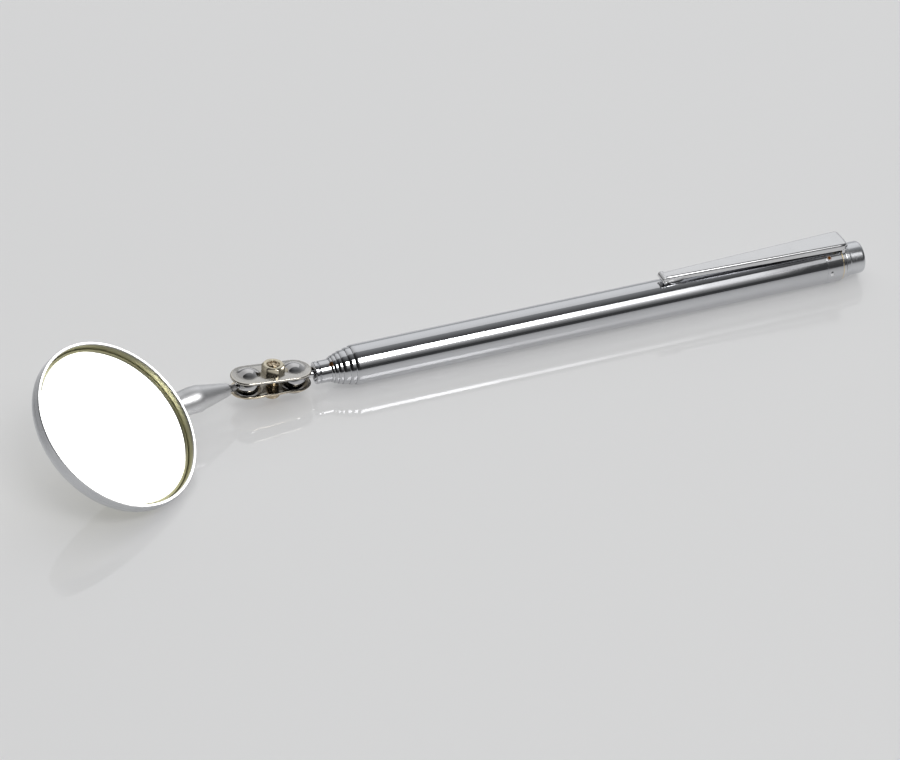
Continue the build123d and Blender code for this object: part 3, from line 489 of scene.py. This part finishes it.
def clip_frame(s):
    """Point and outward normal of the clip's back at s millimetres from its tip, and its half width and flange depth."""
    straight = END_X - 0.95 - (TIP_X + BEAD)
    if s <= straight:
        x = TIP_X + BEAD + s
        k = s / straight
        half = 1.0 + (2.4 - 1.0) * k
        sag = 0.12 * math.sin(math.pi * k)
        return (x, TOP - 0.02 - 0.0 * sag), (0.0, 1.0), half, 0.85 + 0.3 * k
    s -= straight
    bend = 0.95 * math.pi / 2
    if s <= bend:
        a = s / 0.95
        return (END_X - 0.95 + 0.95 * math.sin(a), TOP - 0.02 - 0.95 * (1 - math.cos(a))), (math.sin(a), math.cos(a)), 2.4 - 0.45 * a / 1.57, 1.15 - 0.55 * a / 1.57
    s -= bend
    return (END_X - 0.55 * s, TOP - 0.97 - 0.28 * s * 1.0), (0.93, 0.37), 1.95 - 0.15 * s, 0.6 - 0.2 * s


def clip_mesh():
    bm = bmesh.new()
    straight = END_X - 0.95 - (TIP_X + BEAD)
    bend = 0.95 * math.pi / 2
    stations = stepped(0, straight, 0.9) + [straight + bend * k / 10 for k in range(1, 11)] + [straight + bend + 0.3, straight + bend + 0.7]
    rc, t = 0.5, 0.35
    rows = []
    for s in stations:
        (px, pz), (nx, nz), half, depth = clip_frame(s)
        sec = [(-half, -depth), (-half, -depth + 0.05), (-half, -(depth + rc) / 2), (-half, -rc - 0.02)]
        sec += [(-half + rc - rc * math.cos(math.radians(a)), -rc + rc * math.sin(math.radians(a))) for a in range(0, 91, 10)]
        inner = half - rc
        sec += [(-inner + 0.05, 0.0)] + [(-inner + 2 * inner * k / 8, 0.05 * math.sin(math.pi * k / 8)) for k in range(1, 8)] + [(inner - 0.05, 0.0)]
        sec += [(half - rc + rc * math.sin(math.radians(a)), -rc + rc * math.cos(math.radians(a))) for a in range(0, 91, 10)]
        sec += [(half, -rc - 0.02), (half, -(depth + rc) / 2), (half, -depth + 0.05), (half, -depth)]
        row = []
        for y, h in sec:
            row.append(bm.verts.new(Vector((MOUTH_X + (px + nx * h) * MM, AXIS_Y + y * MM, (pz + nz * h) * MM))))
        rows.append(row)
    for p, q in zip(rows, rows[1:]):
        for k in range(len(p) - 1):
            bm.faces.new((p[k], q[k], q[k + 1], p[k + 1]))
    return bm


def thickened(bm, inward, t):
    """Closed sheet: a copy of every face t millimetres along -normal, joined round the boundary."""
    bm.normal_update()
    verts = list(bm.verts)
    faces = list(bm.faces)
    border = [e for e in bm.edges if e.is_boundary]
    twin = {v: bm.verts.new(v.co + inward(v) * t * MM) for v in verts}
    for f in faces:
        bm.faces.new([twin[v] for v in reversed(f.verts)])
    for e in border:
        f = e.link_faces[0]
        a, b = e.verts
        loop = next(l for l in f.loops if l.edge == e)
        a, b = loop.vert, loop.link_loop_next.vert
        bm.faces.new((b, a, twin[a], twin[b]))
    return bm


bm = clip_mesh()
bmesh.ops.recalc_face_normals(bm, faces=bm.faces)
if sum(f.normal.z for f in bm.faces) < 0:
    bmesh.ops.reverse_faces(bm, faces=bm.faces)
bm = thickened(bm, lambda v: -v.normal, 0.33)


def add(bm, other):
    """Copies another bmesh into bm."""
    m = {v: bm.verts.new(v.co) for v in other.verts}
    for f in other.faces:
        bm.faces.new([m[v] for v in f.verts])
    other.free()
    return bm


# rolled bead across the tip, hollow at its ends
w = 1.2
pts = [(-w + 0.12, 0, 0), (-w + 0.12, 0.26, 0.05), (-w, 0.38, 0.06), (-w, BEAD - 0.02, 0.16), (w, BEAD - 0.02, 0.16), (w, 0.38, 0.06), (w - 0.12, 0.26, 0.05), (w - 0.12, 0, 0)]
BEAD_O = Vector((MOUTH_X + (TIP_X + BEAD) * MM, AXIS_Y, (TOP - BEAD) * MM))
add(bm, lathe(softened(pts), BEAD_O, (0, 1, 0), (1, 0, 0), 64, closed=False))


def ear(side):
    """Flat half-round ear with a softened rim."""
    e = bmesh.new()
    cx, cz, rx, rz, y0 = TIP_X + 2.55, TOP - 0.42, 1.85, 1.18, side * 1.13
    rim = [(math.cos(math.radians(180 + 180 * k / 36)), math.sin(math.radians(180 + 180 * k / 36))) for k in range(37)]
    layers = [(0.0, 0.93), (0.05, 1.0), (0.27, 1.0), (0.32, 0.93)]
    loops = []
    for depth, grow in layers:
        loops.append([e.verts.new(Vector((MOUTH_X + (cx + rx * grow * c) * MM, AXIS_Y + (y0 + side * (0.02 - depth)) * MM, (cz + rz * grow * s) * MM))) for c, s in rim])
    for p, q in zip(loops, loops[1:]):
        for k in range(len(p) - 1):
            e.faces.new((p[k], q[k], q[k + 1], p[k + 1]))
        e.faces.new((p[-1], q[-1], q[0], p[0]))
    e.faces.new(loops[0])
    e.faces.new(loops[-1])
    return e


for sgn in (-1, 1):
    add(bm, ear(sgn))
keep("pocket_clip", bm, MAT_CLIP, "clip", ["clip_arm"], sharp=42)

# ------------------------------------------------------------------ ball clamp
BALL_R = 2.1
BALL_HALF = (BALL1 - BALL2).length / 2 / MM
UPPER_OUT, LOWER_OUT = 1.95, 1.32
SCREW_X = 0.32


def clamp_point(x, y, z):
    return CLAMP_MID + (CLAMP_X * x + CLAMP_Y * y + CLAMP_Z * z) * MM


def soft_max(a, b, k):
    h = max(0.0, min(1.0, 0.5 + 0.5 * (a - b) / k))
    return b + (a - b) * h + k * h * (1 - h)


def smooth(a, b, v):
    t = max(0.0, min(1.0, (v - a) / (b - a)))
    return t * t * (3 - 2 * t)


def plate_height(x, y, d, out, lower):
    """Height of a plate's outer face, outward positive; d is the distance from its spine."""
    z = out
    z -= 0.17 * smooth(1.9, 3.0, d)
    z -= 0.12 * math.exp(-((x - SCREW_X) ** 2 + y * y) / 5.5)
    if lower:
        z += 0.14 * smooth(0.5, -3.2, x) - 0.10 * smooth(-0.5, 3.0, x) * smooth(0.5, 2.5, -y) + 0.05 * math.sin(x * 1.7 + 0.6)
    dome = -1.0
    for c in (-BALL_HALF, BALL_HALF):
        q = math.hypot(x - c, y)
        big = BALL_R + 0.6
        if q < big:
            dome = max(dome, math.sqrt(big * big - q * q) + 0.12 * smooth(1.9, 0.0, q))
    return soft_max(dome, z, 0.34) if dome > 0 else z


def plate(out, lower, half_w=3.0, thick=0.48):
    """Pressed plate: rings from its spine to its rim, thickened, with a rounded rim."""
    bm = bmesh.new()
    around = []
    for k in range(72):
        a = math.radians(-90 + 180 * (k + 0.5) / 72)
        around.append(((BALL_HALF, 0.0), (math.cos(a), math.sin(a))))
    for k in range(64):
        x = BALL_HALF - 2 * BALL_HALF * (k + 0.5) / 64
        around.append(((x, 0.0), (0.0, 1.0)))
    for k in range(72):
        a = math.radians(90 + 180 * (k + 0.5) / 72)
        around.append(((-BALL_HALF, 0.0), (math.cos(a), math.sin(a))))
    for k in range(64):
        x = -BALL_HALF + 2 * BALL_HALF * (k + 0.5) / 64
        around.append(((x, 0.0), (0.0, -1.0)))
    rows = stepped(0.0, half_w - 0.2, 0.075)
    sgn = -1.0 if lower else 1.0
    edge = [(half_w - 0.2 + 0.2 * math.sin(math.radians(a)), 0.2 - 0.2 * math.cos(math.radians(a))) for a in (18, 36, 54, 72, 90)]
    edge += [(half_w, thick - 0.2)] + [(half_w - 0.14 + 0.14 * math.cos(math.radians(a)), thick - 0.14 + 0.14 * math.sin(math.radians(a))) for a in (0, 30, 60, 90)]
    under = stepped(half_w - 0.25, 0.0, 0.11)
    rings = []

    def ring(d, drop):
        r = []
        for (cx, cy), (nx, ny) in around:
            x, y = cx + nx * d, cy + ny * d
            z = plate_height(x, y, d, out, lower) - drop
            if drop >= thick - 0.01 and d < half_w - 0.2:
                for c in (-BALL_HALF, BALL_HALF):
                    q = math.hypot(x - c, y)
                    if q < BALL_R + 0.02:
                        z = max(z, math.sqrt((BALL_R + 0.02) ** 2 - q * q))
            r.append(bm.verts.new(clamp_point(x, y, sgn * z)))
        return r

    for d in rows:
        rings.append(ring(max(d, 0.0), 0.0))
    for d, drop in edge:
        rings.append(ring(d, drop))
    for d in under:
        rings.append(ring(max(d, 0.0), thick))
    n = len(around)
    for p, q in zip(rings, rings[1:]):
        for k in range(n):
            j = (k + 1) % n
            bm.faces.new((p[k], q[k], q[j], p[j]))
    # close both spines: the rows on either side of the line meet there
    for r0 in (rings[0], rings[-1]):
        bmesh.ops.remove_doubles(bm, verts=r0, dist=1e-7)
    bmesh.ops.remove_doubles(bm, verts=bm.verts, dist=2e-8)
    bmesh.ops.holes_fill(bm, edges=[e for e in bm.edges if e.is_boundary], sides=0)
    return bm


keep("plate_upper", plate(UPPER_OUT, False), MAT_PLATE, "clamp", ["clamp_plate_upper"], 60)
keep("plate_lower", plate(LOWER_OUT + 0.02, True, thick=0.42), MAT_PLATE_LOW_SHADED, "clamp", ["clamp_plate_lower"], 60)

SCREW_O = clamp_point(SCREW_X, 0, 0)
NUT_TOP = UPPER_OUT + 0.02 + 1.35
LOW = -LOWER_OUT - 1.75
pts = [(LOW + 0.35, 0, 0), (LOW + 0.05, 0.45, 0.1), (LOW, 0.8, 0.1)] + arc(LOW + 0.62, 0.85, 0.62, 0.57, 180, 90, 10)[1:] + [
    (-LOWER_OUT - 0.3, 1.42, 0.1), (-LOWER_OUT + 0.05, 1.3, 0), (-LOWER_OUT + 0.2, 1.1, 0)]
threads = []
x = -LOWER_OUT + 0.35
while x < UPPER_OUT - 0.2:
    threads += [(x, 1.1, 0), (x + 0.1, 1.1, 0), (x + 0.17, 1.0, 0), (x + 0.25, 1.0, 0)]
    x += 0.32
pts += threads
pts += [(NUT_TOP - 0.12, 1.06, 0), (NUT_TOP - 0.02, 1.06, 0.02), (NUT_TOP + 0.12, 0.98, 0.08), (NUT_TOP + 0.2, 0.78, 0.1), (NUT_TOP + 0.16, 0.6, 0.06),
        (NUT_TOP - 0.05, 0.52, 0.05), (NUT_TOP - 0.1, 0.4, 0.04), (NUT_TOP + 0.02, 0.3, 0.08), (NUT_TOP + 0.05, 0, 0)]


def peened(x, r, a):
    if x > NUT_TOP - 0.15 and r < 1.04:
        k = 0.05 * math.sin(3 * a + 0.7) + 0.035 * math.sin(7 * a + 2.0)
        return x + k * smooth(0.25, 0.7, r), r * (1 + 0.06 * math.sin(5 * a + 1.1))
    return x, r


keep("clamp_bolt", lathe(softened(pts), SCREW_O, tuple(CLAMP_Z), tuple(CLAMP_X), 128, peened, closed=False), MAT_SCREW, "clamp", ["clamp_screw"])


def nut():
    """Hexagon with soft corners, turned chamfers on both faces and a bored middle."""
    af, turn = 3.5 / 2, math.radians(9.7)
    bm = bmesh.new()
    seg = 240
    bot = UPPER_OUT - 0.12
    prof = [(1.1, bot, 0), (1.35, bot, 0), (1.6, bot, 0), (9, bot, 1), (9, bot, 2), (9, NUT_TOP, 3), (9, NUT_TOP, 4), (1.62, NUT_TOP, 0), (1.5, NUT_TOP, 0),
            (1.3, NUT_TOP - 0.01, 0), (1.17, NUT_TOP - 0.03, 0), (1.09, NUT_TOP - 0.12, 0)]
    rings = []
    for r, z, kind in prof:
        ring = []
        for k in range(seg):
            a = 2 * math.pi * k / seg
            b = (a - turn + math.pi / 6) % (math.pi / 3) - math.pi / 6
            flat = af / math.cos(b)
            corner = 2.0
            m = max(0.0, min(1.0, 0.5 + 0.5 * (corner - flat) / 0.12))
            hexr = corner * (1 - m) + flat * m - 0.12 * m * (1 - m)
            rr, zz = r, z
            if kind:
                rr = hexr
                cham = max(0.0, hexr - 1.62) * 0.5
                if kind == 1:
                    rr, zz = hexr - 0.03, bot + cham * 0.6
                elif kind == 2:
                    zz = bot + cham * 0.6 + 0.04
                elif kind == 3:
                    zz = NUT_TOP - cham - 0.05
                else:
                    rr, zz = hexr - 0.04, NUT_TOP - cham - 0.005
            ring.append(bm.verts.new(SCREW_O + (CLAMP_X * math.cos(a) * rr + CLAMP_Y * math.sin(a) * rr + CLAMP_Z * zz) * MM))
        rings.append(ring)
    for i in range(len(rings)):
        p, q = rings[i], rings[(i + 1) % len(rings)]
        for k in range(seg):
            j = (k + 1) % seg
            bm.faces.new((p[k], q[k], q[j], p[j]))
    return bm


keep("hex_nut", nut(), MAT_NUT, "nut", ["clamp_nut"], 30)

# ball studs
NECK = 0.6
x1 = -7.5
B1X = (BALL1.x - MOUTH_X) / MM
a0 = math.degrees(math.asin(NECK / BALL_R))
pts = [(B1X + BALL_R * math.cos(math.radians(a)), BALL_R * math.sin(math.radians(a)), 0) for a in [180 - (180 - a0) * k / 48 for k in range(49)]]
pts[0] = (B1X - BALL_R, 0.0, 0)
pts += [(-6.95, NECK, 0.05), (-6.85, 0.8, 0.05), (-2.33, 0.8, 0), (-2.33, 1.1, 0.05), (-2.05, 1.1, 0.05), (-1.95, 0.9, 0), (-1.95, 0, 0)]
keep("rear_ball", lathe(softened(pts), HANDLE_O, (1, 0, 0), FRONT_SIDE, 128, closed=False), MAT_BALL, "rear_ball", ["rear_ball_stud"])
a0 = math.degrees(math.asin(0.47 / BALL_R))
pts = [(BALL_R * math.cos(math.radians(a)), BALL_R * math.sin(math.radians(a)), 0) for a in [180 - (180 - a0) * k / 48 for k in range(49)]]
pts[0] = (-BALL_R, 0.0, 0)
pts += [(6.8, 0.47, 0), (6.8, 0, 0)]
keep("front_ball", lathe(softened(pts), BALL2, tuple(STEM_DIR), (0, 0, 1), 128, closed=False), MAT_BALL, "front_ball", ["front_ball_stud"])

# ------------------------------------------------------------------ mirror head
R, T, W = 15.0, 3.0, 0.5
pts = [(-T, 0, 0), (-T, R - 1.5, 0)] + arc(-T + 1.5, R - 1.5, 1.5, 1.5, 180, 90, 14)[1:] + [(-0.2, R, 0)]
pts += [(-0.09, R, 0.0), (-0.02, R - 0.03, 0.0), (0, R - 0.09, 0), (0, R - 0.41, 0), (-0.02, R - 0.46, 0), (-0.08, R - W, 0)]
pts += [(-T + 1.4, R - W, 0)] + arc(-T + 1.5, R - 1.5, 1.0, 1.0, 90, 180, 10) + [(-T + 0.5, 0, 0)]
keep("cup", lathe(softened(pts), CUP_C, tuple(CUP_N), (0, 0, 1), 288, closed=False), MAT_CUP, "mirror_head", ["mirror_cup"])
G = -1.2
pts = [(G - 0.9, 0, 0), (G - 0.9, 14.3, 0.08), (G - 0.22, 14.36, 0.05), (G - 0.02, 13.95, 0.12), (G, 13.5, 0.1), (G, 0, 0)]
keep("looking_glass", lathe(softened(pts), CUP_C, tuple(CUP_N), (0, 0, 1), 288, closed=False), MAT_MIRROR, "mirror_head", ["mirror_glass"])



def stem_mesh():
    """Turned stem that ends against the cup wall below its rim, then runs on as a flat tongue under the floor."""
    join = Vector((MOUTH_X - 32.79 * MM, AXIS_Y - 4.54 * MM, 6.52 * MM))
    length = (join - BALL2).length / MM
    lap = (STEM_DIR - CUP_N * STEM_DIR.dot(CUP_N)).normalized()
    u = Vector((0, 0, 1)).cross(STEM_DIR).normalized()
    v = STEM_DIR.cross(u)
    seg = 128

    def height(p):
        return (p - CUP_C).dot(CUP_N) / MM

    def off_axis(p):
        d = p - CUP_C
        return (d - CUP_N * d.dot(CUP_N)).length / MM

    def line(a, r, x):
        return BALL2 + (STEM_DIR * x + (u * math.cos(a) + v * math.sin(a)) * r) * MM

    walls = []
    for k in range(seg):
        a = 2 * math.pi * k / seg
        lo, hi = length - 7.0, length + 5.0
        for _ in range(40):
            mid = (lo + hi) / 2
            if off_axis(line(a, 2.0, mid)) > R + 0.01:
                lo = mid
            else:
                hi = mid
        walls.append(lo)
    bm = bmesh.new()
    rows = []
    front = [(2.6, 0.0), (2.6, 0.5), (2.6, 0.54), (2.63, 0.58), (2.72, 0.61), (3.0, 0.615), (3.35, 0.62)]
    front += [(3.35 + 0.85 * k / 8, 0.62 + (1.13 - 0.62) * k / 8) for k in range(1, 9)]
    front += [(4.2 + (10.0 - 4.2) * k / 32, 1.13 + (2.24 - 1.13) * k / 32) for k in range(1, 33)]
    front += [(10.04, 2.25), (10.1, 2.29), (10.2, 2.3)]
    for x, r in front:
        if r == 0.0:
            rows.append([bm.verts.new(line(0, 0, x))])
        else:
            rows.append([bm.verts.new(line(2 * math.pi * k / seg, r, x)) for k in range(seg)])
    drop = max(0.0, max(height(line(2 * math.pi * k / seg, 2.0, walls[k])) for k in range(seg)) + 0.13)
    for t in stepped(0.04, 1.0, 0.04):
        row = []
        for k in range(seg):
            x = 10.2 + (walls[k] - 10.2) * t
            w = smooth(-3.6, 0.6, x - walls[k]) / smooth(-3.6, 0.6, 0.0)
            row.append(bm.verts.new(line(2 * math.pi * k / seg, 2.3 - 0.3 * w, x) - CUP_N * drop * w * MM))
        rows.append(row)
    ends = [x.co.copy() for x in rows[-1]]
    middle = sum(ends, Vector()) / seg
    across = CUP_N.cross(lap).normalized()
    for reach, narrow in [(0.0, 1.0), (4.2, 1.0), (4.8, 0.97), (5.4, 0.87), (5.9, 0.7), (6.25, 0.5), (6.42, 0.3), (6.5, 0.0)]:
        row = []
        for p in ends:
            wide = (p - middle).dot(across)
            h = max(-4.08, min(-3.01, height(p)))
            q = p - across * wide * (1 - narrow)
            if reach:
                q = q - lap * ((q - middle).dot(lap)) + lap * reach * MM
            row.append(bm.verts.new(q + CUP_N * (h - height(q)) * MM))
        rows.append(row)
    for p, q in zip(rows, rows[1:]):
        for k in range(seg):
            j = (k + 1) % seg
            if len(p) == 1:
                bm.faces.new((p[0], q[k], q[j]))
            else:
                bm.faces.new((p[k], q[k], q[j], p[j]))
    bmesh.ops.remove_doubles(bm, verts=bm.verts, dist=2e-7)
    bmesh.ops.dissolve_degenerate(bm, dist=1e-8, edges=bm.edges)
    return bm


keep("turned_stem", stem_mesh(), MAT_STEM, "mirror_head", ["stem"], 35)

for i in range(1, 7):
    paint("spring_sleeve_%d" % i, MAT_BRONZE)
paint("clip_collar", MAT_CLIP)
paint("seat_ring", MAT_BRASS)
paint("cup_rivet", MAT_STEM)
paint("glass_pad", MAT_PAD)

# ------------------------------------------------------------------ floor
bpy.ops.mesh.primitive_plane_add(size=6.0)
floor = bpy.context.object
floor.name = "floor"
m = Mat("white_table")
cloud = m.noise(m.scaled((6, 6, 6)), 1.0, 3, 0.5)
m.b.inputs["Emission Color"].default_value = (0.99, 0.99, 1.0, 1.0)
m.b.inputs["Emission Strength"].default_value = 0.27
floor.data.materials.append(m.done(m.mix(cloud, (0.50, 0.50, 0.50), (0.515, 0.515, 0.51)), 0.05, metallic=0.0, IOR=1.5))

# ------------------------------------------------------------------ light
world = bpy.data.worlds.new("studio")
scene.world = world
world.use_nodes = True
wt = world.node_tree
bg = wt.nodes["Background"]
tc = wt.nodes.new("ShaderNodeTexCoord")
sep = wt.nodes.new("ShaderNodeSeparateXYZ")
wt.links.new(tc.outputs["Generated"], sep.inputs[0])
ramp = wt.nodes.new("ShaderNodeMapRange")
ramp.interpolation_type = "SMOOTHSTEP"
wt.links.new(sep.outputs["Y"], ramp.inputs["Value"])
ramp.inputs["From Min"].default_value, ramp.inputs["From Max"].default_value = -0.5, 0.78
ramp.inputs["To Min"].default_value, ramp.inputs["To Max"].default_value = 0.055, 0.5
side = wt.nodes.new("ShaderNodeMapRange")
side.interpolation_type = "SMOOTHSTEP"
wt.links.new(sep.outputs["X"], side.inputs["Value"])
side.inputs["From Min"].default_value, side.inputs["From Max"].default_value = -0.4, 0.3
side.inputs["To Min"].default_value, side.inputs["To Max"].default_value = 0.15, 1.0
times = wt.nodes.new("ShaderNodeMath")
times.operation = "MULTIPLY"
wt.links.new(ramp.outputs[0], times.inputs[0])
wt.links.new(side.outputs[0], times.inputs[1])
wt.links.new(times.outputs[0], bg.inputs["Strength"])
bg.inputs["Color"].default_value = (0.96, 0.98, 1.0, 1.0)


def softbox(name, toward, distance, width, height, radiance, color=(1, 1, 1), target=(0, 0, 0.004)):
    """A rectangular light in direction `toward`, its long side level, with a given radiance."""
    d = Vector(toward).normalized()
    light = bpy.data.lights.new(name, "AREA")
    light.shape = "RECTANGLE"
    light.size, light.size_y = width, height
    light.energy = radiance * math.pi * width * height
    light.color = color
    o = bpy.data.objects.new(name, light)
    scene.collection.objects.link(o)
    o.location = Vector(target) + d * distance
    o.rotation_mode = "QUATERNION"
    o.rotation_quaternion = (-d).to_track_quat("-Z", "Y")
    return o


# key softbox above the camera side, fading towards its right end
KEY_DIR = Vector((0.0, -0.58, 0.80)).normalized()
KEY_UP = Vector((0.0, 0.80, 0.58)).normalized()


def key_panel(name, x0, x1, radiance, tilt=0.0, height=0.36, reflected=True):
    """One panel of the key; the reflected panels show in metal, the others only light matt surfaces."""
    turn = Matrix.Rotation(math.radians(tilt), 3, "X")
    toward, across = turn @ KEY_DIR, turn @ KEY_UP
    o = softbox(name, toward, 0.9, x1 - x0, height, radiance)
    o.location = Vector((0, 0, 0.004)) + toward * (0.9 if reflected else 0.94) + Vector(((x0 + x1) / 2, 0, 0))
    if reflected:
        o.visible_diffuse = False
    else:
        o.visible_glossy = False


key_panel("key_lamp", -0.12, 0.30, 4.8, reflected=False)
key_panel("key_a", 0.04, 0.29, 11.0)
key_panel("key_b", 0.29, 0.34, 5.0)
key_panel("key_c", 0.34, 0.39, 2.2)
key_panel("key_d", 0.39, 0.44, 1.1)
key_panel("key_e", 0.44, 0.56, 0.6)
for i, (beta, glow) in enumerate([(39.5, 0.85), (33.0, 0.42), (26.5, 0.20), (20.0, 0.09)]):
    key_panel("key_skirt_%d" % i, 0.04, 0.45, glow, tilt=54.06 - beta, height=0.1)
softbox("back_box", (0.0, 0.66, 0.70), 1.2, 2.4, 1.25, 0.42)
fill = softbox("fill", (0.0, 0.0, 1.0), 1.5, 2.0, 2.0, 0.72)
fill.visible_glossy = False
side_box = softbox("side_box", (0.905, 0.211, 0.369), 0.75, 0.34, 0.34, 3.0, target=tuple(CUP_C))
lit = bpy.data.collections.new("lit_by_side_box")        # a reflector card held for the mirror head only
for piece in ("cup", "looking_glass"):
    lit.objects.link(bpy.data.objects[piece])
side_box.light_linking.receiver_collection = lit

# ------------------------------------------------------------------ camera
AZ, EL, DIST, FOCAL_PX = math.radians(-20.343), math.radians(36.076), 508.893 * MM, 2985.706
back = Vector((math.sin(AZ) * math.cos(EL), -math.cos(AZ) * math.cos(EL), math.sin(EL)))
cam_data = bpy.data.cameras.new("camera")
cam_data.sensor_fit = "HORIZONTAL"
cam_data.sensor_width = 36.0
cam_data.lens = FOCAL_PX * 36.0 / 900.0
cam_data.clip_start, cam_data.clip_end = 0.01, 50.0
cam = bpy.data.objects.new("camera", cam_data)
scene.collection.objects.link(cam)
cam.location = Vector((MOUTH_X + 15.0434 * MM, AXIS_Y - 5.2989 * MM, 0)) + back * DIST
cam.rotation_mode = "QUATERNION"
cam.rotation_quaternion = (-back).to_track_quat("-Z", "Y")
scene.camera = cam
scene.view_settings.view_transform = "Standard"
scene.view_settings.look = "None"
scene.view_settings.exposure = 0.0
scene.view_settings.gamma = 1.0
